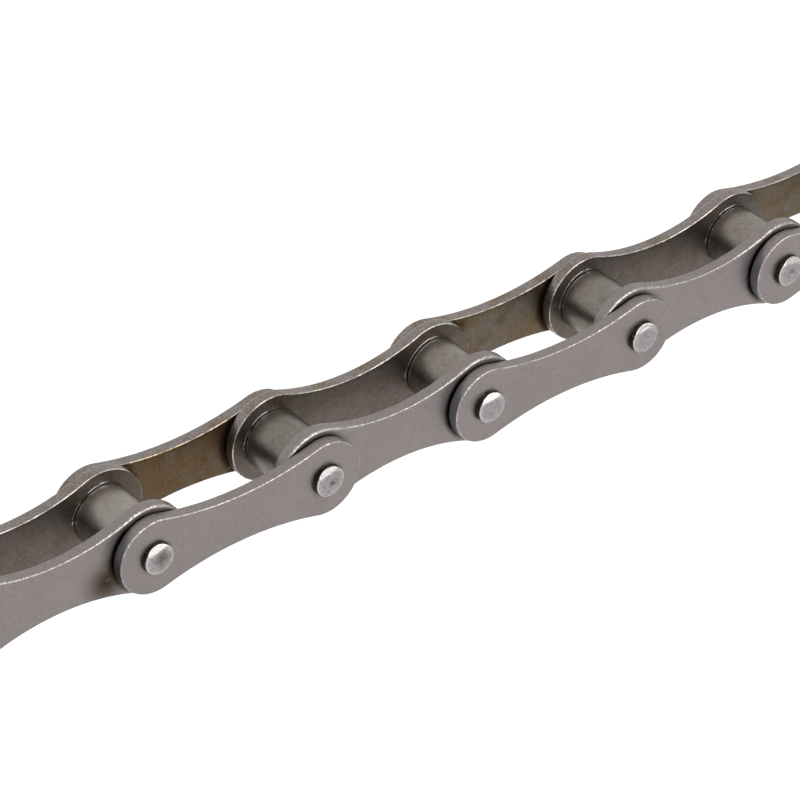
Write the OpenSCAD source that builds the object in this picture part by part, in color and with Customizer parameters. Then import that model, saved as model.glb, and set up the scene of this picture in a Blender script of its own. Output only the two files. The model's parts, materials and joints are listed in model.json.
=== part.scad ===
// Double pitch roller chain: a straight strand that starts and ends with an inner link.
// X runs along the strand, Y runs along the pins and Z is up, along the height of the plates.
// The origin is the middle of the strand, on the line that joins the pin centres.
// Joint centres are counted from 1 at the low X end. "Near" is the -Y side and "far" the +Y side.

/* [Chain] */
// Distance from one joint centre to the next, twice that of the single pitch chain
pitch = 31.75; // [28:0.05:38]
// Inner links in the strand, with an outer link between each two
inner_links = 4; // [2:1:6]
// Free width between the two inner plates, where the sprocket tooth runs
inner_w = 9.53; // [8:0.01:12]

/* [Link plates] */
// Thickness of every link plate
plate_t = 2.03; // [1.6:0.01:2.4]
// Height of an inner plate over its round ends
inner_plate_h = 14.9; // [13.6:0.1:16]
// Height of an inner plate at its waist
inner_waist_h = 8.8; // [7:0.1:11]
// Height of an outer plate over its round ends
outer_plate_h = 12.8; // [11.8:0.1:13.5]
// Height of an outer plate at its waist
outer_waist_h = 8.4; // [7:0.1:10.5]
// Radius that tumbling leaves on the edges of a blanked plate
plate_edge_r = 0.3; // [0.1:0.05:0.5]
// Play between an inner plate and the outer plate beside it
side_gap = 0.2; // [0.1:0.01:0.4]

/* [Pins] */
// Diameter of a pin, and of the outer plate hole that it is pressed into
pin_d = 5.08; // [4.6:0.01:5.6]
// Height of a riveted pin head above the outer plate
pin_stand = 1.1; // [0.7:0.05:1.6]
// Amount by which riveting spreads the radius of a head over the edge of its hole
rivet_spread = 0.06; // [0:0.01:0.2]
// Radius of the rounded rim of a head
head_rim_r = 0.3; // [0.2:0.05:0.8]
// Diameter of the shallow dish that the riveting tool leaves in a head
dish_d = 2.8; // [1:0.1:3.2]
// Depth of the dish
dish_depth = 0.2; // [0.05:0.01:0.3]

/* [Bushings] */
// Radial running clearance between a pin and its bushing
pin_clearance = 0.05; // [0.01:0.01:0.1]
// Wall of a bushing
bushing_wall = 0.96; // [0.7:0.01:1.1]
// Height of a bushing's end above the inner plate that it is pressed into
bushing_stand = 0.05; // [0:0.01:0.08]
// Chamfer at both mouths of a bushing, inside and outside
bushing_chamfer = 0.2; // [0.05:0.05:0.3]

/* [Rollers] */
// Diameter of a roller
roller_d = 10.16; // [9.6:0.01:11.4]
// Radial running clearance between a roller and its bushing
roller_clearance = 0.06; // [0.01:0.01:0.1]
// Play between a roller's end and the inner plate beside it
roller_side_gap = 0.08; // [0.05:0.01:0.3]
// Radius of the rounded rims of a roller
roller_rim_r = 0.2; // [0.1:0.05:0.6]
// Chamfer at both mouths of a roller's bore
roller_chamfer = 0.15; // [0.05:0.05:0.25]

/* [Hidden] */
$fn = 96;
// Facets of the small rounding arcs
small_arc_fn = 24;
// Length by which a cutting tool reaches past the solid that it cuts
overcut = 1;
// Depth to which a waist arc dips into a round end, so that the two cross instead of just touching
arc_overlap = 0.02;
outer_links = inner_links - 1;
centres = 2 * inner_links;

pin_r = pin_d / 2;
head_r = pin_r + rivet_spread;
bushing_bore_r = pin_r + pin_clearance;
bushing_r = bushing_bore_r + bushing_wall;
roller_bore_r = bushing_r + roller_clearance;
roller_r = roller_d / 2;

// Distances from the middle plane of the chain, along Y
inner_plate_y = inner_w / 2 + plate_t / 2;
outer_plate_y = inner_w / 2 + plate_t + side_gap + plate_t / 2;
pin_end_y = outer_plate_y + plate_t / 2 + pin_stand;

bushing_l = inner_w + 2 * (plate_t + bushing_stand);
roller_l = inner_w - 2 * roller_side_gap;

plate_color = [0.55, 0.53, 0.52];
pin_color = [0.74, 0.73, 0.73];
bushing_color = [0.42, 0.41, 0.4];
roller_color = [0.5, 0.49, 0.48];

SIDES = ["near", "far"];

// Place of joint centre n along the strand
function centre_x(n) = (n - (centres + 1) / 2) * pitch;

// Radius of the waist arc that leaves the waist height free and dips by arc_overlap into both round ends
function waist_r(plate_h, waist_h) =
    let (end_r = plate_h / 2 - arc_overlap)
    (pow(pitch / 2, 2) + pow(waist_h / 2, 2) - pow(end_r, 2)) / (2 * end_r - waist_h);

// Turns what was drawn flat, or about Z, so that it faces along the pins
module along_pins() {
    rotate([90, 0, 0])
        children();
}

// Section of a disc as thick as a plate and as round at its rim, from the axis outwards
module rim_section(disc_r) {
    flat_y = plate_t / 2 - plate_edge_r;
    translate([0, -flat_y])
        square([disc_r, 2 * flat_y]);
    translate([0, -plate_t / 2])
        square([disc_r - plate_edge_r, plate_t]);
    for (y = [-flat_y, flat_y])
        translate([disc_r - plate_edge_r, y])
            circle(r = plate_edge_r, $fn = small_arc_fn);
}

// What the waist arc takes off one side of a plate, with the same rounded edges
module waist_cut(arc_r) {
    edge_reach = 2 * plate_edge_r;
    rotate_extrude()
        difference() {
            translate([0, -plate_t / 2 - overcut])
                square([arc_r + plate_edge_r, plate_t + 2 * overcut]);
            translate([arc_r + edge_reach, 0])
                mirror([1, 0])
                    rim_section(edge_reach);
        }
}

// A figure eight plate between two joint centres, drawn about its middle plane.
// The web reaches from hole centre to hole centre, between the two centres of the waist arcs.
module link_plate(plate_h, waist_h, hole_r) {
    arc_r = waist_r(plate_h, waist_h);
    arc_y = waist_h / 2 + arc_r;
    difference() {
        union() {
            rotate_extrude()
                rim_section(plate_h / 2);
            translate([pitch, 0, 0])
                rotate([0, 0, 180])
                    rotate_extrude()
                        rim_section(plate_h / 2);
            difference() {
                linear_extrude(plate_t, center = true)
                    polygon([[0, 0], [pitch / 2, -arc_y], [pitch, 0], [pitch / 2, arc_y]]);
                for (y = [-arc_y, arc_y])
                    translate([pitch / 2, y, 0])
                        waist_cut(arc_r);
            }
        }
        for (x = [0, pitch])
            translate([x, 0, 0])
                cylinder(h = plate_t + 2 * overcut, r = hole_r, center = true);
    }
}

// Inner plate of inner link k, pressed onto the two bushings of that link
module inner_plate(k, side) {
    color(plate_color)
        translate([centre_x(2 * k - 1), (side == "near" ? -1 : 1) * inner_plate_y, 0])
            along_pins()
                link_plate(inner_plate_h, inner_waist_h, bushing_r);
}

// Outer plate of outer link k, pressed and riveted onto the two pins of that link
module outer_plate(k, side) {
    color(plate_color)
        translate([centre_x(2 * k), (side == "near" ? -1 : 1) * outer_plate_y, 0])
            along_pins()
                link_plate(outer_plate_h, outer_waist_h, pin_r);
}

// Half of a pin's section, from its middle to the dished and rounded head
module pin_section() {
    shank_l = pin_end_y - pin_stand;
    dish_r = (pow(dish_d / 2, 2) + pow(dish_depth, 2)) / (2 * dish_depth);
    difference() {
        union() {
            square([pin_r, pin_end_y - head_rim_r]);
            translate([0, shank_l])
                square([head_r, pin_stand - head_rim_r]);
            translate([0, shank_l])
                square([head_r - head_rim_r, pin_stand]);
            translate([head_r - head_rim_r, pin_end_y - head_rim_r])
                circle(r = head_rim_r, $fn = small_arc_fn);
        }
        translate([0, pin_end_y - dish_depth + dish_r])
            circle(r = dish_r);
    }
}

// Pin at joint centre n, from one outer plate to the other
module pin(n) {
    color(pin_color)
        translate([centre_x(n), 0, 0])
            along_pins()
                rotate_extrude() {
                    pin_section();
                    mirror([0, 1])
                        pin_section();
                }
}

// Bushing at joint centre n, from the outside of one inner plate to that of the other
module bushing(n) {
    half_l = bushing_l / 2;
    color(bushing_color)
        translate([centre_x(n), 0, 0])
            along_pins()
                rotate_extrude()
                    polygon([
                        [bushing_bore_r, -half_l + bushing_chamfer],
                        [bushing_bore_r + bushing_chamfer, -half_l],
                        [bushing_r - bushing_chamfer, -half_l],
                        [bushing_r, -half_l + bushing_chamfer],
                        [bushing_r, half_l - bushing_chamfer],
                        [bushing_r - bushing_chamfer, half_l],
                        [bushing_bore_r + bushing_chamfer, half_l],
                        [bushing_bore_r, half_l - bushing_chamfer]
                    ]);
}

// Roller at joint centre n, loose on its bushing
module roller(n) {
    half_l = roller_l / 2;
    color(roller_color)
        translate([centre_x(n), 0, 0])
            along_pins()
                rotate_extrude() {
                    polygon([
                        [roller_bore_r, -half_l + roller_chamfer],
                        [roller_bore_r + roller_chamfer, -half_l],
                        [roller_r - roller_rim_r, -half_l],
                        [roller_r - roller_rim_r, half_l],
                        [roller_bore_r + roller_chamfer, half_l],
                        [roller_bore_r, half_l - roller_chamfer]
                    ]);
                    translate([roller_r - roller_rim_r, -half_l + roller_rim_r])
                        square([roller_rim_r, roller_l - 2 * roller_rim_r]);
                    for (y = [-1, 1])
                        translate([roller_r - roller_rim_r, y * (half_l - roller_rim_r)])
                            circle(r = roller_rim_r, $fn = small_arc_fn);
                }
}

for (k = [1:inner_links])
    for (side = SIDES)
        inner_plate(k, side);

for (k = [1:outer_links])
    for (side = SIDES)
        outer_plate(k, side);

for (n = [1:centres])
    bushing(n);

for (n = [1:centres])
    roller(n);

for (n = [2:centres - 1])
    pin(n);
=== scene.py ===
"""A strand of double pitch roller chain: blanked figure eight plates, riveted pins, bushings, rollers.

X runs along the strand, Y along the pins and Z up. "Out" is away from the middle plane of the chain.
"""
import json
import math

import bpy
from mathutils import Matrix, Vector

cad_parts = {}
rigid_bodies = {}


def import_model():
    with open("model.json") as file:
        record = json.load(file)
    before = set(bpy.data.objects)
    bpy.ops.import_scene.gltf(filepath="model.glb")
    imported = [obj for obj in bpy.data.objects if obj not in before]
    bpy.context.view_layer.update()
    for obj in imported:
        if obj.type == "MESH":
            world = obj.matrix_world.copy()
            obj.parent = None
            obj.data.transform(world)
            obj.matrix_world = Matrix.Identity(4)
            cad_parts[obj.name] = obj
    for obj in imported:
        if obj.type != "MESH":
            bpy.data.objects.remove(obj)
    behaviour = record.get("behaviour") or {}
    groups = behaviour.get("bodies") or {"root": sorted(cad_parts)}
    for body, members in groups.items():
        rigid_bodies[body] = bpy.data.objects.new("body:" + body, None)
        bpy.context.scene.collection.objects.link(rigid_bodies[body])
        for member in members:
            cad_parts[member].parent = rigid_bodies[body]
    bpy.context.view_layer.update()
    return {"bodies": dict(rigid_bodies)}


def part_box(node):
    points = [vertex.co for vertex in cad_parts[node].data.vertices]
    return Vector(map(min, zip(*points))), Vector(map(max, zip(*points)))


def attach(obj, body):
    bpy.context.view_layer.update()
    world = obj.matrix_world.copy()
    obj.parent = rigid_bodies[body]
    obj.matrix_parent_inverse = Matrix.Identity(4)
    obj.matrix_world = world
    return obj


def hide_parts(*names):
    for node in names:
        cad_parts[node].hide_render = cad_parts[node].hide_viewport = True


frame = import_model()

MM = 0.001

# Sizes that the frame gives


def middle(node):
    """The middle of a node's box."""
    low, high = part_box(node)
    return (low + high) / 2


def reach(node):
    """The size of a node's box along X, Y and Z."""
    low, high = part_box(node)
    return high - low


INNER_LINKS = sum(name.startswith("inner_link") for name in frame["bodies"])
OUTER_LINKS = INNER_LINKS - 1
CENTRES = 2 * INNER_LINKS
PITCH = middle("pin_3").x - middle("pin_2").x
FIRST_X = middle("bushing_1").x
PLATE_T = reach("inner_link_1_near_plate").y
INNER_H = reach("inner_link_1_near_plate").z
OUTER_H = reach("outer_link_1_near_plate").z
OUTER_OUTSIDE_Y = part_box("outer_link_1_far_plate")[1].y
PIN_END_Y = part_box("pin_2")[1].y
HEAD_R = reach("pin_2").x / 2
BUSHING_R = reach("bushing_1").x / 2
BUSHING_L = reach("bushing_1").y
ROLLER_R = reach("roller_1").x / 2
ROLLER_L = reach("roller_1").y

# Sizes that lie inside the boxes, as the solids have them

INNER_WAIST_H = 8.8 * MM
OUTER_WAIST_H = 8.4 * MM
RIVET_SPREAD = 0.06 * MM
BUSHING_BORE_R = 2.59 * MM
BUSHING_CHAMFER = 0.2 * MM
ROLLER_BORE_R = 3.61 * MM
ROLLER_RIM_R = 0.2 * MM
ROLLER_CHAMFER = 0.15 * MM
PIN_R = HEAD_R - RIVET_SPREAD


# Node trees


class Value:
    """A number in a node tree. Arithmetic on it adds math nodes, so that a formula reads as one."""

    def __init__(self, net, socket):
        self.net = net
        self.socket = socket

    def __add__(self, other):
        return self.net.math("ADD", self, other)

    def __radd__(self, other):
        return self.net.math("ADD", other, self)

    def __sub__(self, other):
        return self.net.math("SUBTRACT", self, other)

    def __rsub__(self, other):
        return self.net.math("SUBTRACT", other, self)

    def __mul__(self, other):
        return self.net.math("MULTIPLY", self, other)

    def __rmul__(self, other):
        return self.net.math("MULTIPLY", other, self)

    def __truediv__(self, other):
        return self.net.math("DIVIDE", self, other)

    def __rtruediv__(self, other):
        return self.net.math("DIVIDE", other, self)

    def __gt__(self, other):
        return self.net.math("GREATER_THAN", self, other)

    def __neg__(self):
        return self.net.math("MULTIPLY", self, -1)


class Net:
    """A node tree being built. Numbers, Values and sockets all serve as inputs."""

    def __init__(self, tree):
        self.tree = tree

    def feed(self, socket, value):
        """Sets or links an input."""
        if isinstance(value, Value):
            value = value.socket
        if isinstance(value, bpy.types.NodeSocket):
            self.tree.links.new(value, socket)
        else:
            socket.default_value = value

    def node(self, kind, inputs=None, **settings):
        """Adds a node with its settings and inputs."""
        made = self.tree.nodes.new(kind)
        for key, value in settings.items():
            setattr(made, key, value)
        for key, value in (inputs or {}).items():
            self.feed(made.inputs[key], value)
        return made

    def value(self, socket):
        return Value(self, socket)

    def math(self, operation, *terms):
        made = self.node("ShaderNodeMath", dict(enumerate(terms)), operation=operation)
        return self.value(made.outputs[0])

    def sin(self, angle):
        return self.math("SINE", angle)

    def cos(self, angle):
        return self.math("COSINE", angle)

    def distance(self, across, above):
        """The length of the line that runs so far across and so far up."""
        return self.math("SQRT", across * across + above * above)

    def ramp(self, value, low, high, start=0.0, end=1.0, smooth=False):
        """start where value is low or less, end where it is high or more, and even or smooth between."""
        made = self.node(
            "ShaderNodeMapRange",
            {"Value": value, "From Min": low, "From Max": high, "To Min": start, "To Max": end},
            interpolation_type="SMOOTHSTEP" if smooth else "LINEAR",
        )
        return self.value(made.outputs["Result"])

    def pick(self, chooser, off, on):
        """off where chooser is 0, on where it is 1."""
        return off + (on - off) * chooser

    def vector(self, x, y, z):
        return self.node("ShaderNodeCombineXYZ", {0: x, 1: y, 2: z}).outputs[0]

    def axes(self, vector):
        parts = self.node("ShaderNodeSeparateXYZ", {0: vector})
        return [self.value(socket) for socket in parts.outputs]

    def scaled(self, vector, factors):
        made = self.node("ShaderNodeVectorMath", {0: vector, 1: factors}, operation="MULTIPLY")
        return made.outputs[0]

    def noise(self, where, size, detail, seed):
        """Soft noise from 0 to 1 whose blotches are about size across."""
        made = self.node(
            "ShaderNodeTexNoise",
            {"Vector": where, "Scale": 1 / size, "Detail": detail, "W": seed},
            noise_dimensions="4D",
        )
        return self.value(made.outputs["Fac"])


def new_form_tree(name, inputs):
    """A geometry tree with named inputs; gives the net, its inputs and its end."""
    tree = bpy.data.node_groups.new(name, "GeometryNodeTree")
    tree.interface.new_socket(name="Geometry", in_out="INPUT", socket_type="NodeSocketGeometry")
    for label, kind in inputs:
        tree.interface.new_socket(name=label, in_out="INPUT", socket_type="NodeSocket" + kind)
    tree.interface.new_socket(name="Geometry", in_out="OUTPUT", socket_type="NodeSocketGeometry")
    net = Net(tree)
    start = net.node("NodeGroupInput")
    given = {label: net.value(start.outputs[label]) for label, kind in inputs}
    return net, start.outputs["Geometry"], given, net.node("NodeGroupOutput").inputs["Geometry"]


# An edge that turns more than this stays sharp
CREASE_ANGLE = math.radians(38)
# Points closer than this are one
WELD = 0.2e-6


def finish_form(net, mesh, material, end):
    """Shades smooth up to the creases, makes the result real and gives it its material."""
    angle = net.value(net.node("GeometryNodeInputMeshEdgeAngle").outputs["Unsigned Angle"])
    smooth = net.node(
        "GeometryNodeSetShadeSmooth",
        {"Geometry": mesh, "Shade Smooth": True},
        domain="FACE",
    )
    creased = net.node(
        "GeometryNodeSetShadeSmooth",
        {"Geometry": smooth.outputs[0], "Selection": angle > CREASE_ANGLE, "Shade Smooth": False},
        domain="EDGE",
    )
    real = net.node("GeometryNodeRealizeInstances", {"Geometry": creased.outputs[0]})
    dressed = net.node("GeometryNodeSetMaterial", {"Geometry": real.outputs[0], "Material": material})
    net.feed(end, dressed.outputs[0])


# The figure eight plate

# Shares of the way from a band's border on a face to the middle of the wall, where the flat land and
# the bend of the edge end
LAND_SHARE = 0.1
BEND_SHARE = 0.7
# How far the bands round the outline and round a hole reach into the faces
RIM_INSET = 0.75 * MM
HOLE_INSET = 0.25 * MM
# The outline wanders in slow waves, and ragged nicks drawn out across the wall lie on them
WAVE_SIZE = 2.5 * MM
WAVE_SHARE = 0.6
NICK_SIZE = 0.45 * MM
NICK_SQUEEZE = (1.0, 0.35, 1.0)


def rim_band(net, around, across, path, thickness, edge_r, end_edge_r, inset_l, wear, seed):
    """A closed band of faces that carries the rounded wall of a plate along a path.

    path turns a share of the way round into a point (x, z), the direction (x, z) out of the metal,
    and how much of the rounder end edge the outer face has there.
    The band reaches inset_l into both faces. wear is how far the wall and its edges wander in and out.
    """
    grid = net.node(
        "GeometryNodeMeshGrid",
        {"Size X": 1.0, "Size Y": 1.0, "Vertices X": around, "Vertices Y": across},
    )
    place = net.axes(net.node("GeometryNodeInputPosition").outputs[0])
    x, z, out_x, out_z, rounder = path(place[0] + 0.5)
    side = net.math("SIGN", place[1])
    edge = net.pick(rounder * (place[1] > 0), edge_r, end_edge_r)
    depth = 1 - net.math("ABSOLUTE", place[1]) * 2
    bend = net.ramp(depth, LAND_SHARE, BEND_SHARE, 0, math.pi / 2)
    wall = net.ramp(depth, BEND_SHARE, 1, 0, thickness / 2 - edge)
    inset = net.ramp(depth, 0, LAND_SHARE, inset_l - edge, 0) + edge * (1 - net.sin(bend))
    y = side * (thickness / 2 - edge + edge * net.cos(bend) - wall)
    clean = net.vector(x - out_x * inset, y, z - out_z * inset)
    slow = net.noise(clean, WAVE_SIZE, 1, seed) - 0.5
    ragged = net.noise(net.scaled(clean, NICK_SQUEEZE), NICK_SIZE, 3, seed + 7) - 0.5
    push = (slow * WAVE_SHARE + ragged) * wear * net.sin(bend)
    tilt = net.cos(bend) * side
    worn = net.vector(
        x - out_x * (inset - push * net.sin(bend)),
        y + push * tilt,
        z - out_z * (inset - push * net.sin(bend)),
    )
    laid = net.node("GeometryNodeSetPosition", {"Geometry": grid.outputs["Mesh"], "Position": worn})
    return laid.outputs[0]


def loop_line(net, around, path, inset):
    """The loop that a band's face starts from, as a curve that lies flat in X and Y."""
    line = net.node("GeometryNodeMeshLine", {"Count": around, "Offset": (1.0, 0.0, 0.0)})
    index = net.value(net.node("GeometryNodeInputIndex").outputs[0])
    x, z, out_x, out_z, _ = path(index / (around - 1))
    laid = net.node(
        "GeometryNodeSetPosition",
        {"Geometry": line.outputs[0], "Position": net.vector(x - out_x * inset, z - out_z * inset, 0)},
    )
    welded = net.node("GeometryNodeMergeByDistance", {"Geometry": laid.outputs[0], "Distance": WELD})
    return net.node("GeometryNodeMeshToCurve", {"Mesh": welded.outputs[0]}).outputs[0]


def figure_eight_path(net, pitch, height, waist):
    """The outline of a plate: an end arc and a waist arc, then both again turned half round."""
    half = pitch / 2
    end_r = height / 2
    waist_z = waist / 2
    waist_r = (half * half + waist_z * waist_z - end_r * end_r) / ((end_r - waist_z) * 2)
    lean = net.math("ARCTAN2", waist_z + waist_r, half)
    end_half_turn = math.pi - lean
    end_l = end_r * end_half_turn * 2
    waist_l = waist_r * (math.pi - lean * 2)

    def path(share):
        """Point, direction, and how near it is to a round end: 1 on the end arcs, 0 at the waist."""
        turns = share * 2
        along = net.math("FRACT", turns) * (end_l + waist_l)
        on_waist = along > end_l
        end_angle = along / end_r - end_half_turn
        waist_angle = -lean - (along - end_l) / waist_r
        # A share of exactly 1 starts the third half turn, which is the first one again
        flip = 1 - net.math("MODULO", net.math("FLOOR", turns), 2.0) * 2
        out_x = net.pick(on_waist, net.cos(end_angle), -net.cos(waist_angle))
        out_z = net.pick(on_waist, net.sin(end_angle), -net.sin(waist_angle))
        x = net.pick(on_waist, half + end_r * net.cos(end_angle), waist_r * net.cos(waist_angle))
        z = net.pick(
            on_waist,
            end_r * net.sin(end_angle),
            waist_z + waist_r + waist_r * net.sin(waist_angle),
        )
        rounder = 1 - on_waist * net.sin((along - end_l) / waist_l * math.pi)
        return x * flip, z * flip, out_x * flip, out_z * flip, rounder

    return path


def hole_path(net, centre_x, radius):
    """The outline of a hole, run so that the metal is outside it."""

    def path(share):
        angle = share * (-2 * math.pi)
        return (
            centre_x + radius * net.cos(angle),
            radius * net.sin(angle),
            -net.cos(angle),
            -net.sin(angle),
            0.0,
        )

    return path


def make_plate_tree():
    """A blanked and tumbled plate about its own middle, with its outer face towards +Y."""
    net, _, size, end = new_form_tree(
        "blanked plate",
        [
            ("Pitch", "Float"),
            ("Height", "Float"),
            ("Waist Height", "Float"),
            ("Thickness", "Float"),
            ("Hole Radius", "Float"),
            ("Edge Radius", "Float"),
            ("End Edge Radius", "Float"),
            ("Hole Edge Radius", "Float"),
            ("Wear", "Float"),
            ("Steps Around", "Int"),
            ("Steps Across", "Int"),
            ("Steps Round Hole", "Int"),
            ("Seed", "Float"),
            ("Turn", "Vector"),
            ("Place", "Vector"),
            ("Steel", "Material"),
        ],
    )
    steps = size["Steps Around"] + 1
    hole_steps = size["Steps Round Hole"] + 1
    outline = figure_eight_path(net, size["Pitch"], size["Height"], size["Waist Height"])
    bands = [
        rim_band(
            net, steps, size["Steps Across"], outline, size["Thickness"], size["Edge Radius"],
            size["End Edge Radius"], RIM_INSET, size["Wear"], size["Seed"],
        )
    ]
    loops = [loop_line(net, steps, outline, RIM_INSET)]
    for direction in (-0.5, 0.5):
        hole = hole_path(net, size["Pitch"] * direction, size["Hole Radius"])
        bands.append(
            rim_band(
                net, hole_steps, size["Steps Across"], hole, size["Thickness"],
                size["Hole Edge Radius"], size["Hole Edge Radius"], HOLE_INSET, 0.0, size["Seed"],
            )
        )
        loops.append(loop_line(net, hole_steps, hole, HOLE_INSET))
    every_loop = net.node("GeometryNodeJoinGeometry")
    for loop in loops:
        net.feed(every_loop.inputs[0], loop)
    filled = net.node("GeometryNodeFillCurve", {"Curve": every_loop.outputs[0]}, mode="TRIANGLES")
    upright = (math.pi / 2, 0.0, 0.0)
    lift = size["Thickness"] / 2
    inward = net.node(
        "GeometryNodeTransform",
        {"Geometry": filled.outputs[0], "Rotation": upright, "Translation": net.vector(0, -lift, 0)},
    )
    outward = net.node(
        "GeometryNodeTransform",
        {"Geometry": filled.outputs[0], "Rotation": upright, "Translation": net.vector(0, lift, 0)},
    )
    outward = net.node("GeometryNodeFlipFaces", {"Mesh": outward.outputs[0]})
    whole = net.node("GeometryNodeJoinGeometry")
    for part in bands + [inward.outputs[0], outward.outputs[0]]:
        net.feed(whole.inputs[0], part)
    welded = net.node("GeometryNodeMergeByDistance", {"Geometry": whole.outputs[0], "Distance": WELD})
    seated = net.node(
        "GeometryNodeTransform",
        {"Geometry": welded.outputs[0], "Rotation": size["Turn"], "Translation": size["Place"]},
    )
    finish_form(net, seated.outputs[0], size["Steel"], end)
    return net.tree


# Turned parts: pins, bushings and rollers

# How much a point takes part in its piece's dents: a pin's shank, the wall of its head, the head's face
HARD = 0.0
FIRM = 0.3
SOFT = 1.0
# Name under which a section holds that
SOFTNESS = "softness"
# Distance over which a facet runs into the face beside it
FACET_BLEND = 0.12 * MM
# Share of a dent that goes sideways at the rim
SIDE_SHARE = 0.5


def make_turned_tree():
    """Carries the section of the modified object round the Y axis, and dents it where it is soft."""
    net, section, size, end = new_form_tree(
        "turned part",
        [
            ("Steps Around", "Int"),
            ("Dent Depth", "Float"),
            ("Dent Size", "Float"),
            ("Dish X", "Float"),
            ("Dish Z", "Float"),
            ("Dish Radius", "Float"),
            ("Dish Depth", "Float"),
            ("Facet Turn", "Float"),
            ("Facet Slope", "Float"),
            ("Facet Height", "Float"),
            ("Seed", "Float"),
            ("Place", "Vector"),
            ("Steel", "Material"),
        ],
    )
    points = net.node("GeometryNodeAttributeDomainSize", {"Geometry": section}, component="MESH")
    count = net.value(points.outputs["Point Count"])
    grid = net.node(
        "GeometryNodeMeshGrid",
        {"Size X": 1.0, "Size Y": 1.0, "Vertices X": size["Steps Around"] + 1, "Vertices Y": count},
    )
    spot = net.node("GeometryNodeInputPosition").outputs[0]
    share = net.axes(spot)
    index = net.math("ROUND", (share[1] + 0.5) * (count - 1))

    def from_section(value, kind):
        """What the section holds at this point of the grid."""
        found = net.node("GeometryNodeSampleIndex", data_type=kind, domain="POINT")
        net.feed(found.inputs["Geometry"], section)
        net.feed(found.inputs["Value"], value)
        net.feed(found.inputs["Index"], index)
        return found.outputs["Value"]

    softness = net.node("GeometryNodeInputNamedAttribute", {"Name": SOFTNESS}, data_type="FLOAT")
    soft = net.value(from_section(softness.outputs["Attribute"], "FLOAT"))
    radius, along, _ = net.axes(from_section(spot, "FLOAT_VECTOR"))
    angle = (share[0] + 0.5) * (2 * math.pi)
    clean = net.vector(radius * net.cos(angle), along, radius * net.sin(angle))
    dent = (net.noise(clean, size["Dent Size"], 2, size["Seed"]) - 0.5) * size["Dent Depth"] * soft
    # Towards the axis a dent moves the metal along the pin only, so that the pole stays closed
    sideways = dent * net.ramp(radius, 0, HEAD_R, 0, SIDE_SHARE)
    x = (radius + sideways) * net.cos(angle)
    z = (radius + sideways) * net.sin(angle)
    off_dish = net.distance(x - size["Dish X"], z - size["Dish Z"])
    dished = net.ramp(off_dish, 0, size["Dish Radius"], 1, 0, smooth=True) * size["Dish Depth"] * soft
    height = net.math("ABSOLUTE", along) + dent - dished
    towards = x * net.cos(size["Facet Turn"]) + z * net.sin(size["Facet Turn"])
    facet = size["Facet Height"] - towards * size["Facet Slope"]
    height = net.math("SMOOTH_MIN", height, facet, FACET_BLEND)
    worn = net.vector(x, height * net.math("SIGN", along), z)
    laid = net.node("GeometryNodeSetPosition", {"Geometry": grid.outputs["Mesh"], "Position": worn})
    welded = net.node("GeometryNodeMergeByDistance", {"Geometry": laid.outputs[0], "Distance": WELD})
    seated = net.node(
        "GeometryNodeTransform",
        {"Geometry": welded.outputs[0], "Translation": size["Place"]},
    )
    finish_form(net, seated.outputs[0], size["Steel"], end)
    return net.tree


# Steps along the sections
ARC_STEPS = 8
BORE_STEPS = 6
ROLLER_FACE_STEPS = 3
ROLLER_WALL_STEPS = 24
COLLAR_STEPS = 2
HEAD_WALL_STEPS = 6
HEAD_RIM_STEPS = 10
HEAD_FACE_STEPS = 26

# How far a head's spread starts below the outer plate's face, and is whole above it
COLLAR_START = 0.02 * MM
COLLAR_STOP = 0.03 * MM
# How far the metal leans from the flat of the face, where the rim meets the wall and the face
RIM_LEAN = math.radians(86)
FACE_LEAN = math.radians(9)


def arc(centre_r, centre_y, radius, start, stop):
    """Points (r, y) of an arc, with angles in degrees from the outward direction towards +Y."""
    angles = [math.radians(start + (stop - start) * i / ARC_STEPS) for i in range(ARC_STEPS + 1)]
    return [(centre_r + radius * math.cos(a), centre_y + radius * math.sin(a)) for a in angles]


def stretch(start, stop, steps):
    """Points (r, y) between two points, without the first."""
    return [
        (start[0] + (stop[0] - start[0]) * i / steps, start[1] + (stop[1] - start[1]) * i / steps)
        for i in range(1, steps + 1)
    ]


def with_softness(points, softness):
    """Points (r, y, softness) of a section."""
    return [(r, y, softness) for r, y in points]


def head_section(rim_r, land_w):
    """Half of a pin's section with how soft each point is, from the middle of the shank to the axis.

    The rim is an arc of rim_r, and a land of land_w falls slightly from the flat of the face to the rim.
    """
    land_drop = land_w * math.tan(FACE_LEAN) / 2
    rim = []
    for i in range(HEAD_RIM_STEPS + 1):
        lean = RIM_LEAN + (FACE_LEAN - RIM_LEAN) * i / HEAD_RIM_STEPS
        r = HEAD_R - rim_r * (math.sin(RIM_LEAN) - math.sin(lean))
        rim.append((r, PIN_END_Y - land_drop - rim_r * (math.cos(FACE_LEAN) - math.cos(lean))))
    shank = [(PIN_R, 0.0), (PIN_R, OUTER_OUTSIDE_Y - COLLAR_START)]
    collar = stretch(shank[-1], (HEAD_R, OUTER_OUTSIDE_Y + COLLAR_STOP), COLLAR_STEPS)
    wall = stretch(collar[-1], rim[0], HEAD_WALL_STEPS)
    face = []
    for i in range(1, HEAD_FACE_STEPS + 1):
        r = rim[-1][0] * (1 - i / HEAD_FACE_STEPS)
        on_land = max(0, r - rim[-1][0] + land_w) / land_w
        face.append((r, PIN_END_Y - land_drop * on_land * on_land))
    return (
        with_softness(shank + collar, HARD)
        + with_softness(wall, FIRM)
        + with_softness(rim[1:] + face, SOFT)
    )


def pin_section(rim_r, land_w):
    """A pin's section from the axis at its near end to the axis at its far end."""
    half = head_section(rim_r, land_w)
    return [(r, -y, soft) for r, y, soft in reversed(half[1:])] + half


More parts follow.
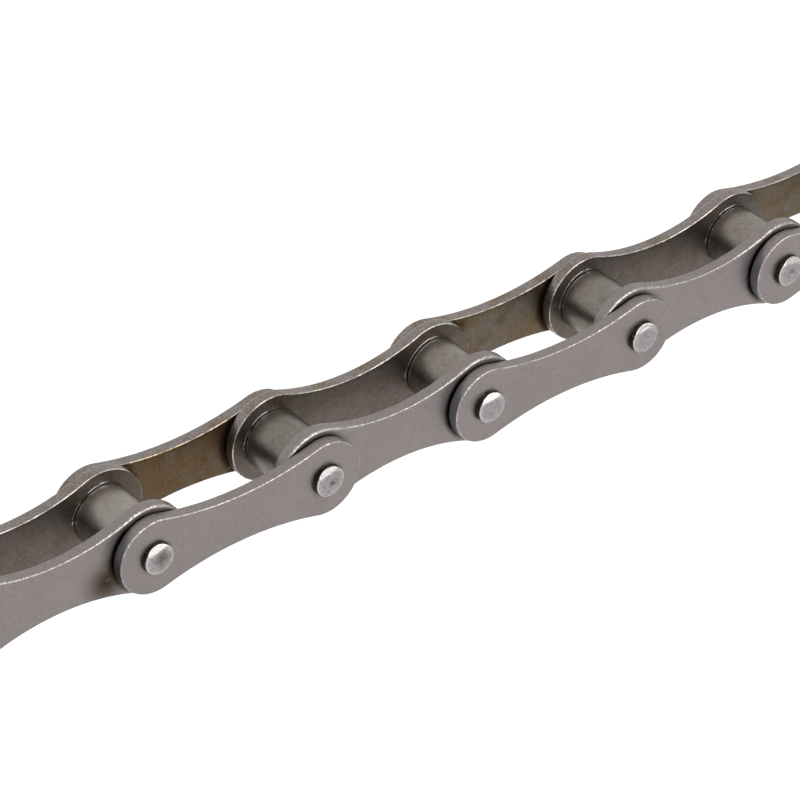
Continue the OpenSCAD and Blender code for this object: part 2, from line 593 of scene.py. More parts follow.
def bushing_section():
    """A bushing's section, once round from the bore."""
    half = BUSHING_L / 2
    wall_y = half - BUSHING_CHAMFER
    face_in_r = BUSHING_BORE_R + BUSHING_CHAMFER
    face_out_r = BUSHING_R - BUSHING_CHAMFER
    low_end = [(BUSHING_BORE_R, -wall_y), (face_in_r, -half), (face_out_r, -half), (BUSHING_R, -wall_y)]
    wall = stretch((BUSHING_R, -wall_y), (BUSHING_R, wall_y), BORE_STEPS)
    high_end = [(face_out_r, half), (face_in_r, half), (BUSHING_BORE_R, wall_y)]
    bore = stretch((BUSHING_BORE_R, wall_y), (BUSHING_BORE_R, -wall_y), BORE_STEPS)
    return with_softness(low_end + wall + high_end + bore, HARD)


def roller_section():
    """A roller's section, once round from the bore."""
    half = ROLLER_L / 2
    rim_r = ROLLER_R - ROLLER_RIM_R
    rim_y = half - ROLLER_RIM_R
    mouth_r = ROLLER_BORE_R + ROLLER_CHAMFER
    bore_start = (ROLLER_BORE_R, -half + ROLLER_CHAMFER)
    bore_end = (ROLLER_BORE_R, half - ROLLER_CHAMFER)
    low_face = [(mouth_r, -half)] + stretch((mouth_r, -half), (rim_r, -half), ROLLER_FACE_STEPS)
    low_rim = arc(rim_r, -rim_y, ROLLER_RIM_R, -90, 0)[1:]
    wall = stretch((ROLLER_R, -rim_y), (ROLLER_R, rim_y), ROLLER_WALL_STEPS)
    high_rim = arc(rim_r, rim_y, ROLLER_RIM_R, 0, 90)[1:]
    high_face = stretch((rim_r, half), (mouth_r, half), ROLLER_FACE_STEPS)
    bore = [bore_end] + stretch(bore_end, bore_start, BORE_STEPS)
    return (
        with_softness([bore_start] + low_face, HARD)
        + with_softness(low_rim + wall + high_rim, SOFT)
        + with_softness(high_face + bore, HARD)
    )


# Making a piece


def grow(name, tree, values, section=()):
    """Runs a tree on a section and gives the plain mesh as a piece."""
    seed_mesh = bpy.data.meshes.new(name)
    seed_mesh.from_pydata([(r, y, 0.0) for r, y, _ in section], [], [])
    if section:
        softness = seed_mesh.attributes.new(SOFTNESS, "FLOAT", "POINT")
        softness.data.foreach_set("value", [soft for _, _, soft in section])
    seed = bpy.data.objects.new(name + "_seed", seed_mesh)
    bpy.context.scene.collection.objects.link(seed)
    modifier = seed.modifiers.new("form", "NODES")
    modifier.node_group = tree
    for item in tree.interface.items_tree:
        if item.in_out == "INPUT" and item.name in values:
            modifier[item.identifier] = values[item.name]
    evaluated = seed.evaluated_get(bpy.context.evaluated_depsgraph_get())
    mesh = bpy.data.meshes.new_from_object(evaluated)
    mesh.name = name
    bpy.data.objects.remove(seed)
    piece = bpy.data.objects.new(name, mesh)
    bpy.context.scene.collection.objects.link(piece)
    return piece


def seat(piece, body, node):
    """Puts a piece on its body, in the place of its node."""
    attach(piece, body)
    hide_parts(node)


# Finishes

# Sockets of a mix node that mixes colours
MIX_COVER = 0
MIX_UNDER = 6
MIX_OVER = 7
MIX_RESULT = 2
# How far out the metal faces where a plate's face starts and where it is whole
FACE_START = 0.5
FACE_WHOLE = 0.9


class Finish:
    """A steel surface whose colour, roughness and relief are laid on layer by layer.

    Sizes and depths are lengths, covers and amounts run from 0 to 1, and a seed picks a pattern.
    """

    def __init__(self, name, colour, roughness):
        self.material = bpy.data.materials.new(name)
        self.material.use_nodes = True
        self.net = Net(self.material.node_tree)
        self.shader = self.material.node_tree.nodes["Principled BSDF"]
        self.shader.inputs["Metallic"].default_value = 1.0
        coordinates = self.net.node("ShaderNodeTexCoord")
        self.place = coordinates.outputs["Object"]
        self.x, self.y, self.z = self.net.axes(self.place)
        facing = self.net.axes(coordinates.outputs["Normal"])
        # How far the surface faces out, from -1 to 1
        self.out = facing[1] * self.net.math("SIGN", self.y)
        # 1 on walls that face the low X end
        self.low_end = self.net.ramp(-facing[0], 0.6, 0.95, smooth=True)
        # 1 on flat faces, whichever way they look
        self.flat = self.net.math("ABSOLUTE", facing[1])
        # 1 on walls
        self.wall = 1 - self.net.ramp(self.flat, 0.2, 0.75, smooth=True)
        # 1 where the surface turns between a wall and a face
        self.corner = self.net.ramp(self.flat, 0.15, 0.5) * (1 - self.net.ramp(self.flat, 0.85, 0.99))
        # 1 on the far side of the chain
        self.far = self.net.ramp(self.y, -1 * MM, 1 * MM)
        self.colour = self.net.vector(*colour)
        self.roughness = roughness
        self.height = 0.0

    def beside_centre(self):
        """Distance along X from the axis of the nearest joint."""
        turns = (self.x - FIRST_X) / PITCH + 0.5
        return (self.net.math("FRACT", turns) - 0.5) * PITCH

    def from_centre(self):
        """Distance from the axis of the nearest joint."""
        return self.net.distance(self.beside_centre(), self.z)

    def towards(self, turn, half_width):
        """1 where the nearest joint is seen in that direction from its axis, within half_width."""
        along = self.beside_centre() * math.cos(turn) + self.z * math.sin(turn)
        edge = math.cos(half_width)
        fade = 0.1
        return self.net.ramp(along / self.from_centre(), edge - fade, edge + fade, smooth=True)

    def inner_faces(self):
        """1 on the plates' faces towards the middle plane."""
        return self.net.ramp(-self.out, FACE_START, FACE_WHOLE)

    def outer_faces(self):
        """1 on the plates' faces away from the middle plane."""
        return self.net.ramp(self.out, FACE_START, FACE_WHOLE)

    def at_joint(self, n):
        """1 round joint n, 0 round the others."""
        away = self.net.math("ABSOLUTE", self.x - middle(f"bushing_{n}").x)
        return 1 - self.net.ramp(away, PITCH * 0.35, PITCH * 0.45)

    def ring(self, radius, width):
        """1 on a ring round each joint, fading over its width."""
        off = self.net.math("ABSOLUTE", self.from_centre() - radius)
        return 1 - self.net.ramp(off, 0, width, smooth=True)

    def patches(self, size, low, high, seed, squeeze=(1.0, 1.0, 1.0)):
        """0 to 1 in blotches of about that size; low and high set how much of the surface they take."""
        where = self.net.scaled(self.place, squeeze)
        return self.net.ramp(self.net.noise(where, size, 3, seed), low, high, smooth=True)

    def mottle(self, size, amount, seed):
        """Makes the colour wander by that amount each way."""
        factor = 1 + (self.net.noise(self.place, size, 2, seed) - 0.5) * (2 * amount)
        made = self.net.node("ShaderNodeVectorMath", {0: self.colour}, operation="SCALE")
        self.net.feed(made.inputs["Scale"], factor)
        self.colour = made.outputs[0]

    def mix(self, cover, colour, way):
        """Mixes a colour into the surface's own in one of Blender's ways."""
        made = self.net.node("ShaderNodeMix", data_type="RGBA", blend_type=way)
        self.net.feed(made.inputs[MIX_COVER], cover)
        self.net.feed(made.inputs[MIX_UNDER], self.colour)
        self.net.feed(made.inputs[MIX_OVER], (*colour, 1.0))
        self.colour = made.outputs[MIX_RESULT]

    def layer(self, cover, colour, roughness=None):
        """Lays another colour over the surface where cover is 1."""
        self.mix(cover, colour, "MIX")
        if roughness is not None:
            self.roughness = self.net.pick(cover, self.roughness, roughness)

    def filter(self, cover, colour):
        """Multiplies the colour where cover is 1, as a thin see-through film does."""
        self.mix(cover, colour, "MULTIPLY")

    def specks(self, size, level, colour, seed, cover=1.0):
        """Small spots where the noise is above that level."""
        fade = 0.06
        spots = self.net.ramp(self.net.noise(self.place, size, 1, seed), level, level + fade)
        self.layer(spots * cover, colour)

    def ridge(self, off, width, height, cover):
        """Adds a rounded ridge where off, a distance to each side, is 0."""
        share = off / (width / 2)
        self.height = self.height + self.net.math("MAXIMUM", 1 - share * share, 0) * height * cover

    def spot(self, x, z, radius):
        """1 at a place on the plates' faces, fading to 0 at the radius."""
        return 1 - self.net.ramp(self.net.distance(self.x - x, self.z - z), 0, radius, smooth=True)

    def scratch(self, x, z, length, slope, width):
        """1 along a short straight line that starts at a place on the plates' faces."""
        across = self.x - x
        above = self.z - z
        along = across * math.cos(slope) + above * math.sin(slope)
        beside = self.net.math("ABSOLUTE", above * math.cos(slope) - across * math.sin(slope))
        inside = self.net.math("COMPARE", along, length / 2, length / 2)
        return inside * (1 - self.net.ramp(beside, 0, width / 2))

    def relief(self, size, depth, seed, cover=1.0, squeeze=(1.0, 1.0, 1.0)):
        """Adds bumps of that size and depth."""
        where = self.net.scaled(self.place, squeeze)
        bumps = self.net.noise(where, size, 2, seed) - 0.5
        self.height = self.height + bumps * depth * cover

    def vary_roughness(self, size, amount, seed):
        """Makes the roughness wander by that amount each way."""
        wander = (self.net.noise(self.place, size, 3, seed) - 0.5) * (2 * amount)
        self.roughness = self.roughness + wander

    def close(self):
        """Joins the layers to the shader and gives the material."""
        net = self.net
        bump = net.node("ShaderNodeBump", {"Strength": 1.0, "Distance": 1.0, "Height": self.height})
        net.feed(self.shader.inputs["Base Color"], self.colour)
        net.feed(self.shader.inputs["Roughness"], net.ramp(self.roughness, 0.05, 1, 0.05, 1))
        net.feed(self.shader.inputs["Normal"], bump.outputs[0])
        return self.material


# Colours of the metal, its rust and its oil, and of painted shade, highlights and reflections
STEEL = (0.262, 0.232, 0.226)
BRIGHT_STEEL = (0.62, 0.59, 0.57)
SHINING_STEEL = (0.85, 0.82, 0.8)
PALE_STEEL = (0.4, 0.37, 0.35)
DULL_STEEL = (0.16, 0.13, 0.11)
PIN_STEEL = (0.33, 0.31, 0.315)
ROLLER_STEEL = (0.25, 0.226, 0.203)
BUSHING_STEEL = (0.2, 0.18, 0.16)
HEAD_WALL_OIL_AND_SHADE = (0.05, 0.045, 0.042)
REFLECTED_BLUE_STEEL = (0.27, 0.3, 0.34)
SILVER_HIGHLIGHT = (0.8, 0.85, 0.9)
RUST = (0.25, 0.12, 0.04)
BROWN_OIL = (0.045, 0.028, 0.012)
DARK_OIL_AND_SHADE = (0.02, 0.017, 0.014)

# Films that the metal shows through, and painted shade on the plates' inner faces
INNER_FACE_SHADE = (0.63, 0.6, 0.55)
GOLDEN_FILM = (0.95, 0.84, 0.58)
OCHRE_FILM = (0.75, 0.7, 0.55)
AMBER_FILM = (0.86, 0.76, 0.66)
OLIVE_FILM = (0.8, 0.74, 0.6)
TAN_FILM = (0.86, 0.82, 0.74)
DRIED_OIL = (0.8, 0.76, 0.66)
COOL_FILM = (0.82, 0.83, 0.84)
FAINT_FILM = (0.94, 0.94, 0.94)
GRIME = (0.5, 0.47, 0.44)
TORN_GRIME = (0.72, 0.69, 0.63)
WALL_DUST = (0.78, 0.75, 0.69)
OUTER_DUST = (0.8, 0.78, 0.7)
INNER_DUST = (0.82, 0.8, 0.76)
ROLLER_DUST = (0.8, 0.77, 0.7)
PIN_DUST = (0.72, 0.71, 0.7)

# Single marks on the plates, placed from the joints beside them
STAIN_X = middle("pin_2").x - 7.4 * MM
STAIN_Z = -2.4 * MM
STAIN_R = 5.5 * MM
SCRATCH_X = middle("pin_5").x + 6.5 * MM
SCRATCH_Z = 1.2 * MM
SCRATCH_L = 1.7 * MM
SCRATCH_W = 0.14 * MM
SCRATCH_SLOPE = math.radians(62)
# The rust runs up from here, leaning back over the plate's end
RUST_X = middle("pin_4").x + 9.5 * MM
RUST_Z = -2.6 * MM
RUST_L = 6.6 * MM
RUST_W = 2.4 * MM
RUST_SLOPE = math.radians(108)
CRUST_X = middle("pin_4").x + 7.6 * MM
CRUST_Z = 3.3 * MM
CRUST_R = 1.6 * MM
FLECKS_X = middle("pin_5").x + 1.4 * MM
FLECKS_Z = 2.9 * MM
FLECKS_R = 1.8 * MM

# The painted silver highlight arc on a low ridge beside a roller's end on an inner plate: where it lies
# and how it stands out
HIGHLIGHT_ARC_TURN = math.radians(128)
HIGHLIGHT_ARC_HALF_WIDTH = math.radians(48)
HIGHLIGHT_ARC_GAP = 0.14 * MM
HIGHLIGHT_ARC_WANDER = 1.4 * MM
RIDGE_W = 0.4 * MM
RIDGE_H = 0.055 * MM

# The painted shadow in the gaps beside the outer plates' ends is darkest on the low X side of the joints
SHADOW_SIDE_TURN = math.pi
SHADOW_SIDE_HALF_WIDTH = math.radians(60)


def plate_ground(name, seed):
    """Tumbled plate steel with its sheared walls and bright broken edges, burnished and partly a painted
    highlight.
    """
    finish = Finish(name, STEEL, 0.40)
    finish.mottle(7 * MM, 0.08, seed)
    finish.mottle(1.3 * MM, 0.08, seed + 1)
    finish.mottle(0.3 * MM, 0.2, seed + 2)
    finish.vary_roughness(3 * MM, 0.06, seed + 3)
    finish.relief(0.3 * MM, 0.014 * MM, seed + 4)
    finish.relief(1.6 * MM, 0.014 * MM, seed + 5)
    # The far plates lie dirtier than the near ones
    dirt = finish.wall * (0.45 + finish.far * 0.55)
    torn = finish.patches(0.2 * MM, 0.4, 0.64, seed + 8, squeeze=(1, 0.45, 1))
    finish.filter(dirt * torn, TORN_GRIME)
    finish.filter(dirt * finish.patches(0.35 * MM, 0.5, 0.7, seed + 11), WALL_DUST)
    olive = finish.patches(5 * MM, 0.45, 0.65, seed + 9)
    finish.filter(finish.wall * finish.far * olive, OLIVE_FILM)
    rubbed = finish.patches(0.24 * MM, 0.54, 0.7, seed + 13)
    finish.layer(finish.wall * finish.far * rubbed * 0.5, PALE_STEEL, 0.34)
    finish.relief(0.25 * MM, 0.04 * MM, seed + 6, finish.wall, (1, 0.5, 1))
    # The edges are brightened in broken stretches: burnished steel and a painted highlight
    edge_burnish_and_highlight = finish.patches(0.4 * MM, 0.36, 0.72, seed + 7)
    finish.layer(finish.corner * edge_burnish_and_highlight, BRIGHT_STEEL, 0.26)
    # Long stretches of the far plates' inner edges are rubbed bright and carry a painted highlight
    inner_edge = finish.corner * finish.far * finish.net.ramp(-finish.out, 0.1, 0.3)
    stretches = finish.patches(4 * MM, 0.42, 0.56, seed + 15)
    breaks = finish.patches(0.6 * MM, 0.34, 0.56, seed + 16)
    finish.layer(inner_edge * (stretches * breaks), SHINING_STEEL, 0.24)
    finish.specks(0.3 * MM, 0.71, PALE_STEEL, seed + 10)
    finish.specks(0.35 * MM, 0.7, DULL_STEEL, seed + 12)
    return finish


def outer_plate_finish():
    """Golden inside and darkened there by painted shade, with the dark rub of the inner plates' ends,
    rust, oil and painted shade round the heads, and a painted bluish reflection on the near walls.
    """
    finish = plate_ground("outer plate steel", 0)
    inward = finish.inner_faces()
    outward = finish.outer_faces()
    # Painted shade: the outer plates' inner faces are darkened all over
    finish.filter(inward, INNER_FACE_SHADE)
    finish.filter(inward * finish.patches(6 * MM, 0.3, 0.6, 11), GOLDEN_FILM)
    finish.filter(inward * finish.patches(0.5 * MM, 0.4, 0.7, 14), OUTER_DUST)
    finish.filter(inward * finish.patches(3 * MM, 0.5, 0.7, 15), OCHRE_FILM)
    # The first outer link is darker and warmer inside than the others
    first_link = finish.net.ramp(finish.x, middle("pin_3").x, middle("pin_3").x + PITCH / 4, 1, 0)
    finish.filter(inward * finish.far * first_link, AMBER_FILM)
    edge_of_rub = finish.ring(INNER_H / 2 + 0.2 * MM, 1.1 * MM)
    finish.layer(inward * edge_of_rub * finish.patches(1.2 * MM, 0.26, 0.46, 12), BROWN_OIL, 0.45)
    run = finish.scratch(RUST_X, RUST_Z, RUST_L, RUST_SLOPE, RUST_W)
    finish.layer(inward * run * finish.patches(0.7 * MM, 0.42, 0.58, 18) * 0.9, BROWN_OIL, 0.5)
    finish.layer(inward * finish.spot(CRUST_X, CRUST_Z, CRUST_R), BROWN_OIL, 0.6)
    finish.layer(inward * run * finish.patches(0.4 * MM, 0.47, 0.55, 16), RUST, 0.6)
    # Painted reflection: a bluish sheen on the near walls that face the low X end
    bluish_reflection = finish.wall * finish.low_end * (1 - finish.far)
    finish.layer(bluish_reflection * 0.7, REFLECTED_BLUE_STEEL, 0.3)
    oil_and_shade = finish.ring(HEAD_R, 0.7 * MM) * finish.patches(1.5 * MM, 0.3, 0.7, 13)
    # Oil and painted shade darken a ring on the outer faces round each head's base
    finish.layer(outward * oil_and_shade * 0.55, DARK_OIL_AND_SHADE, 0.35)
    flecks = finish.spot(FLECKS_X, FLECKS_Z, FLECKS_R) * finish.patches(0.3 * MM, 0.5, 0.6, 17)
    finish.layer(outward * flecks * 0.7, RUST, 0.6)
    return finish.close()


def inner_plate_finish():
    """Darkened inside by painted shade, with painted highlight arcs beside the rollers, and oil and
    painted shade in the gaps beside the outer plates' ends.
    """
    finish = plate_ground("inner plate steel", 20)
    inward = finish.inner_faces()
    outward = finish.outer_faces()
    # Painted shade: the inner plates' inner faces are darkened all over
    finish.filter(inward, INNER_FACE_SHADE)
    finish.filter(inward * finish.patches(4 * MM, 0.4, 0.7, 32), TAN_FILM)
    finish.filter(inward * finish.patches(0.5 * MM, 0.4, 0.7, 33), INNER_DUST)
    wander = (finish.net.noise(finish.place, 9 * MM, 1, 35) - 0.5) * HIGHLIGHT_ARC_WANDER
    off = finish.from_centre() - (ROLLER_R + HIGHLIGHT_ARC_GAP) - finish.net.math("ABSOLUTE", wander)
    # The arc is broken at every joint but the fourth
    broken = finish.patches(1.6 * MM, 0.4, 0.5, 34)
    whole = finish.net.math("MAXIMUM", broken, finish.at_joint(4))
    # The arc's cover: a low ridge that carries a painted highlight
    worn = inward * finish.towards(HIGHLIGHT_ARC_TURN, HIGHLIGHT_ARC_HALF_WIDTH) * whole
    finish.ridge(off, RIDGE_W, RIDGE_H, worn)
    on_ridge = 1 - finish.net.ramp(finish.net.math("ABSOLUTE", off), 0.08 * MM, 0.24 * MM)
    # Painted highlight: the ridge is painted silver
    finish.layer(worn * on_ridge, SILVER_HIGHLIGHT, 0.22)
    # Oil and painted shade lie round the ends of the outer plates, and the strand's free ends have none
    free_end = finish.at_joint(1) + finish.at_joint(CENTRES)
    oil_and_shade = finish.ring(OUTER_H / 2, 1.0 * MM) * finish.patches(2.5 * MM, 0.1, 0.5, 31)
    # Painted shadow: the darkening is strongest on the low X side
    shadow_side = 0.35 + finish.towards(SHADOW_SIDE_TURN, SHADOW_SIDE_HALF_WIDTH) * 0.6
    finish.layer(outward * oil_and_shade * (1 - free_end) * shadow_side, DARK_OIL_AND_SHADE, 0.3)
    stain = finish.spot(STAIN_X, STAIN_Z, STAIN_R) * finish.patches(1.4 * MM, 0.0, 0.4, 36)
    finish.layer(outward * stain, BROWN_OIL, 0.35)
    mark = finish.scratch(SCRATCH_X, SCRATCH_Z, SCRATCH_L, SCRATCH_SLOPE, SCRATCH_W)
    finish.layer(inward * mark * 0.5, BRIGHT_STEEL, 0.3)
    return finish.close()


def pin_finish():
    """Beaten heads with grime in the dish, a rim brightened partly by a painted highlight, and a wall
    darkened by oil and painted shade.
    """
    finish = Finish("riveted pin steel", PIN_STEEL, 0.32)
    finish.mottle(1.0 * MM, 0.22, 40)
    finish.mottle(0.3 * MM, 0.26, 41)
    finish.vary_roughness(0.7 * MM, 0.1, 42)
    finish.relief(0.3 * MM, 0.02 * MM, 43)
    finish.relief(0.9 * MM, 0.04 * MM, 45)
    finish.filter(finish.patches(0.6 * MM, 0.48, 0.72, 48), PIN_DUST)
    depth = PIN_END_Y - finish.net.math("ABSOLUTE", finish.y)
    level = finish.net.ramp(finish.flat, 0.9, 0.96)
    in_dish = level * finish.net.ramp(depth, 0.03 * MM, 0.16 * MM)
    finish.filter(in_dish * (1 - finish.net.ramp(finish.from_centre(), 1.4 * MM, 2 * MM)), GRIME)
    on_land = level * finish.ring(2.1 * MM, 0.45 * MM)
    finish.layer(on_land * finish.patches(0.5 * MM, 0.35, 0.65, 47) * 0.45, BRIGHT_STEEL, 0.3)
    # The rim is brightened: burnished steel and a painted highlight
    finish.layer(finish.corner, BRIGHT_STEEL, 0.22)
    # The beaten side of one head is streaked
    streak = finish.at_joint(5) * finish.ring(2.2 * MM, 0.3 * MM) * finish.corner
    finish.layer(streak * finish.patches(0.5 * MM, 0.3, 0.45, 44), DULL_STEEL, 0.4)
    # Oil and painted shade: the heads' walls are painted near black
    finish.layer(finish.wall, HEAD_WALL_OIL_AND_SHADE, 0.34)
    finish.specks(0.22 * MM, 0.63, PALE_STEEL, 49, finish.wall)
    return finish.close()


def roller_finish():
    """Olive grey with dried oil, a little different at three of the joints, and rims brightened partly
    by a painted highlight.
    """
    finish = Finish("roller steel", ROLLER_STEEL, 0.36)
    finish.mottle(22 * MM, 0.2, 56)
    finish.mottle(4 * MM, 0.12, 50)
    finish.mottle(0.32 * MM, 0.28, 51)
    finish.vary_roughness(2 * MM, 0.06, 52)
    finish.relief(0.3 * MM, 0.012 * MM, 53)
    finish.filter(finish.patches(1.2 * MM, 0.4, 0.8, 54), DRIED_OIL)
    finish.filter(finish.patches(0.35 * MM, 0.5, 0.7, 57), ROLLER_DUST)
    finish.layer(finish.at_joint(2) * 0.3, PALE_STEEL)
    finish.filter(finish.at_joint(3), COOL_FILM)
    finish.filter(finish.at_joint(5), FAINT_FILM)
    # The rims are brightened: burnished steel and a painted highlight
    finish.layer(finish.corner, BRIGHT_STEEL, 0.24)
    return finish.close()


def bushing_finish():
    """Plain and dull, since little of it is ever in sight."""
    finish = Finish("bushing steel", BUSHING_STEEL, 0.34)
    finish.mottle(1.5 * MM, 0.1, 60)
    finish.relief(0.3 * MM, 0.006 * MM, 61)
    return finish.close()


# The pieces

PLATE_TREE = make_plate_tree()
TURNED_TREE = make_turned_tree()
EDGE_R = 0.2 * MM
INNER_END_EDGE_R = 0.45 * MM
OUTER_END_EDGE_R = 0.26 * MM
HOLE_EDGE_R = 0.1 * MM
EDGE_WEAR = 0.05 * MM
OUTLINE_STEPS = 480
BAND_STEPS = 21
HOLE_STEPS = 96
TURNED_STEPS = 128
ROLLER_DENT = 0.02 * MM
ROLLER_DENT_SIZE = 2 * MM
# Seeds count up from these, so that no two pieces of a kind are worn alike
OUTER_PLATE_SEED = 100
ROLLER_SEED = 20
PIN_SEED = 40
# Height of a facet's plane on the axis where a part has none
NO_FACET = 1.0
SIDES = ("near", "far")
NO_TURN = (0.0, 0.0, 0.0)
HALF_TURN = (math.pi, 0.0, 0.0)


def make_plate(name, node, height, waist, hole_r, end_edge_r, steel, seed):
    """A plate in the place of its node. A near one is turned over, so that its outer face looks out."""
    values = {
        "Pitch": PITCH,
        "Height": height,
        "Waist Height": waist,
        "Thickness": PLATE_T,
        "Hole Radius": hole_r,
        "Edge Radius": EDGE_R,
        "End Edge Radius": end_edge_r,
        "Hole Edge Radius": HOLE_EDGE_R,
        "Wear": EDGE_WEAR,
        "Steps Around": OUTLINE_STEPS,
        "Steps Across": BAND_STEPS,
        "Steps Round Hole": HOLE_STEPS,
        "Seed": float(seed),
        "Turn": HALF_TURN if "near" in node else NO_TURN,
        "Place": tuple(middle(node)),
        "Steel": steel,
    }
    return grow(name, PLATE_TREE, values)


def make_turned(name, node, section, steel, seed, dent_depth=0.0, dent_size=1 * MM, head=None):
    """A pin, bushing or roller in the place of its node."""
    values = {
        "Steps Around": TURNED_STEPS,
        "Dent Depth": dent_depth,
        "Dent Size": dent_size,
        "Facet Height": NO_FACET,
        "Seed": float(seed),
        "Place": tuple(middle(node)),
        "Steel": steel,
    }
    if head:
        slope = math.tan(head.facet_lean)
        values.update({
            "Dish X": head.dish_x,
            "Dish Z": head.dish_z,
            "Dish Radius": head.dish_r,
            "Dish Depth": head.dish_depth,
            "Facet Turn": head.facet_turn,
            "Facet Slope": slope,
            "Facet Height": PIN_END_Y + head.facet_reach * slope,
        })
    return grow(name, TURNED_TREE, values, section)


class Head:
    """How one pin is riveted: its rim, the dish that the tool leaves and the side that it beats down."""

    def __init__(self, rim_r, land_w, dish, facet, dents):
        self.rim_r = rim_r * MM
        self.land_w = land_w * MM
        self.dish_x, self.dish_z, self.dish_r, self.dish_depth = [size * MM for size in dish]
        turn, reach_mm, lean = facet
        self.facet_turn = math.radians(turn)
        self.facet_reach = reach_mm * MM
        self.facet_lean = math.radians(lean)
        self.dent_depth, self.dent_size = [size * MM for size in dents]


# No two pins are riveted alike. In millimetres and degrees: radius of the rim, width of the land,
# dish (x, z, radius, depth), beaten side (direction, distance from the axis, lean), dents (depth, size)
HEADS = {
    2: Head(0.45, 0.8, (0.3, -0.1, 2.0, 0.32), (102, 1.4, 25), (0.12, 1.4)),
    3: Head(0.34, 0.7, (0.5, -0.5, 1.7, 0.34), (106, 1.5, 24), (0.14, 1.2)),
    4: Head(0.3, 0.5, (0, 0, 1.6, 0.03), (94, 1.5, 26), (0.07, 1.2)),
    5: Head(0.3, 0.5, (0, 0, 1.6, 0.05), (98, 1.5, 24), (0.2, 0.6)),
    6: Head(0.3, 0.6, (0.2, 0.1, 1.4, 0.15), (80, 1.5, 26), (0.12, 1.2)),
    7: Head(0.35, 0.6, (-0.2, 0.2, 1.5, 0.22), (120, 1.4, 26), (0.14, 1.3)),
}


def make_chain():
    """Every piece of the strand, each on the body of its node."""
    outer_steel = outer_plate_finish()
    inner_steel = inner_plate_finish()
    pin_steel = pin_finish()
    roller_steel = roller_finish()
    bushing_steel = bushing_finish()
    for link in range(1, INNER_LINKS + 1):
        for side in SIDES:
            node = f"inner_link_{link}_{side}_plate"
            name = f"{side}_inner_plate_{link}"
            seed = 10 * link + SIDES.index(side)
            piece = make_plate(
                name, node, INNER_H, INNER_WAIST_H, BUSHING_R, INNER_END_EDGE_R, inner_steel, seed
            )
            seat(piece, f"inner_link_{link}", node)
    for link in range(1, OUTER_LINKS + 1):
        for side in SIDES:
            node = f"outer_link_{link}_{side}_plate"
            name = f"{side}_outer_plate_{link}"
            seed = OUTER_PLATE_SEED + 10 * link + SIDES.index(side)
            piece = make_plate(
                name, node, OUTER_H, OUTER_WAIST_H, PIN_R, OUTER_END_EDGE_R, outer_steel, seed
            )
            seat(piece, f"outer_link_{link}", node)
    for n in range(1, CENTRES + 1):
        bushing = make_turned(
            f"turned_bushing_{n}", f"bushing_{n}", bushing_section(), bushing_steel, n
        )
        seat(bushing, f"inner_link_{(n + 1) // 2}", f"bushing_{n}")
        roller = make_turned(
            f"turned_roller_{n}", f"roller_{n}", roller_section(), roller_steel, ROLLER_SEED + n,
            ROLLER_DENT, ROLLER_DENT_SIZE,
        )
        seat(roller, f"turning_roller_{n}", f"roller_{n}")
    for n in range(2, CENTRES):
        head = HEADS[n]
        section = pin_section(head.rim_r, head.land_w)
        pin = make_turned(
            f"riveted_pin_{n}", f"pin_{n}", section, pin_steel, PIN_SEED + n,
            head.dent_depth, head.dent_size, head,
        )
        seat(pin, f"outer_link_{n // 2}", f"pin_{n}")


# Camera: azimuth 0 looks along +Y, and the aim lies one pitch to the low X side of the middle

AZIMUTH = math.radians(-39.18)
ELEVATION = math.radians(34.59)
ROLL = math.radians(0.66)
DISTANCE = 617.7 * MM
SIDESTEP = 4.3 * MM
LIFT = 2.37 * MM
LENS = 179.9
CLIP_START = 0.01
CLIP_END = 20


def add_camera():
    right = Vector((math.cos(AZIMUTH), math.sin(AZIMUTH), 0))
    level = Vector((-math.sin(AZIMUTH), math.cos(AZIMUTH), 0))
    forward = level * math.cos(ELEVATION) - Vector((0, 0, math.sin(ELEVATION)))
    up = right.cross(forward)
    rolled_right = right * math.cos(ROLL) + up * math.sin(ROLL)
    rolled_up = up * math.cos(ROLL) - right * math.sin(ROLL)
    camera_data = bpy.data.cameras.new("camera")
    camera_data.lens = LENS
    camera_data.clip_start = CLIP_START
    camera_data.clip_end = CLIP_END
    camera = bpy.data.objects.new("camera", camera_data)
    camera.matrix_world = Matrix((rolled_right, rolled_up, -forward)).transposed().to_4x4()
    aim = Vector((-PITCH, 0, 0))
    camera.location = aim - forward * DISTANCE + rolled_right * SIDESTEP + rolled_up * LIFT
    bpy.context.scene.collection.objects.link(camera)
    bpy.context.scene.camera = camera


# Floor, lamp and surroundings

FLOOR_Z = -95 * MM
FLOOR_R = 6.0
FLOOR_COLOUR = (0.8, 0.8, 0.8, 1)
FLOOR_GLOW = 0.45
GLOSS_GLOW = 0.2
WHITE = (1, 1, 1, 1)


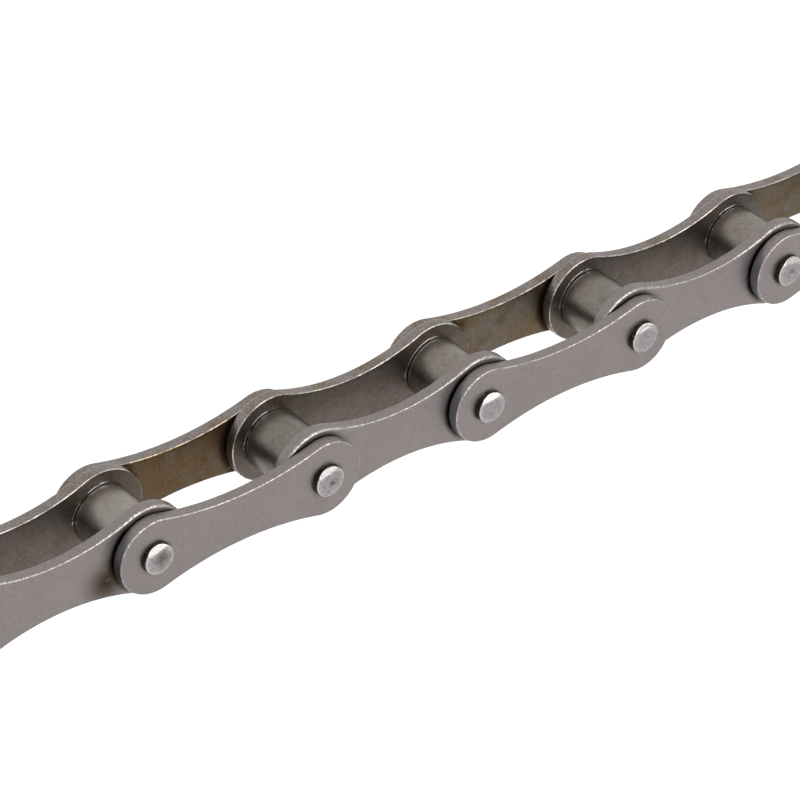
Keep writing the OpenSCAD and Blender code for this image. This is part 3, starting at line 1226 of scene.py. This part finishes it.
def lit_floor():
    """A white floor that takes a shadow and shows white to the camera and in the metal."""
    material = bpy.data.materials.new("floor")
    material.use_nodes = True
    tree = material.node_tree
    net = Net(tree)
    tree.nodes.remove(tree.nodes["Principled BSDF"])
    rays = net.node("ShaderNodeLightPath")
    seen = net.value(rays.outputs["Is Camera Ray"])
    mirrored = net.value(rays.outputs["Is Glossy Ray"])
    strength = seen * FLOOR_GLOW + mirrored * GLOSS_GLOW
    glow = net.node("ShaderNodeEmission", {"Color": WHITE, "Strength": strength})
    matte = net.node("ShaderNodeBsdfDiffuse", {"Color": FLOOR_COLOUR})
    both = net.node("ShaderNodeAddShader", {0: glow.outputs[0], 1: matte.outputs[0]})
    net.feed(tree.nodes["Material Output"].inputs["Surface"], both.outputs[0])
    return material


def add_floor():
    floor_mesh = bpy.data.meshes.new("floor")
    corners = [(x * FLOOR_R, y * FLOOR_R, FLOOR_Z) for x, y in ((-1, -1), (1, -1), (1, 1), (-1, 1))]
    floor_mesh.from_pydata(corners, [], [(0, 1, 2, 3)])
    floor_mesh.materials.append(lit_floor())
    floor = bpy.data.objects.new("floor", floor_mesh)
    bpy.context.scene.collection.objects.link(floor)


LAMP_DIRECTION = (0.2, -0.85, 0.46)
LAMP_DISTANCE = 0.9
LAMP_W = 0.9
LAMP_H = 0.6
LAMP_WATTS = 4.2


def add_lamp():
    """A soft box in front of the strand that faces its middle."""
    lamp_data = bpy.data.lights.new("front soft box", "AREA")
    lamp_data.shape = "RECTANGLE"
    lamp_data.size = LAMP_W
    lamp_data.size_y = LAMP_H
    lamp_data.energy = LAMP_WATTS
    lamp = bpy.data.objects.new("front soft box", lamp_data)
    away = Vector(LAMP_DIRECTION).normalized()
    lamp.location = away * LAMP_DISTANCE
    lamp.rotation_mode = "QUATERNION"
    lamp.rotation_quaternion = away.to_track_quat("Z", "Y")
    bpy.context.scene.collection.objects.link(lamp)


# Strength of the surroundings as light, and where the camera or the metal sees them
LIGHT_STRENGTH = 0.75
SEEN_STRENGTH = 1.0


def add_surroundings():
    """White all round: whiter to the eye and in the metal than the light that it gives."""
    world = bpy.data.worlds.new("surroundings")
    world.use_nodes = True
    bpy.context.scene.world = world
    net = Net(world.node_tree)
    rays = net.node("ShaderNodeLightPath")
    seen = net.math("MAXIMUM", rays.outputs["Is Camera Ray"], rays.outputs["Is Glossy Ray"])
    seen = net.math("MAXIMUM", seen, rays.outputs["Is Transmission Ray"])
    background = world.node_tree.nodes["Background"]
    background.inputs["Color"].default_value = WHITE
    net.feed(background.inputs["Strength"], net.pick(seen, LIGHT_STRENGTH, SEEN_STRENGTH))


make_chain()
add_camera()
add_floor()
add_lamp()
add_surroundings()
bpy.context.scene.view_settings.view_transform = "Standard"
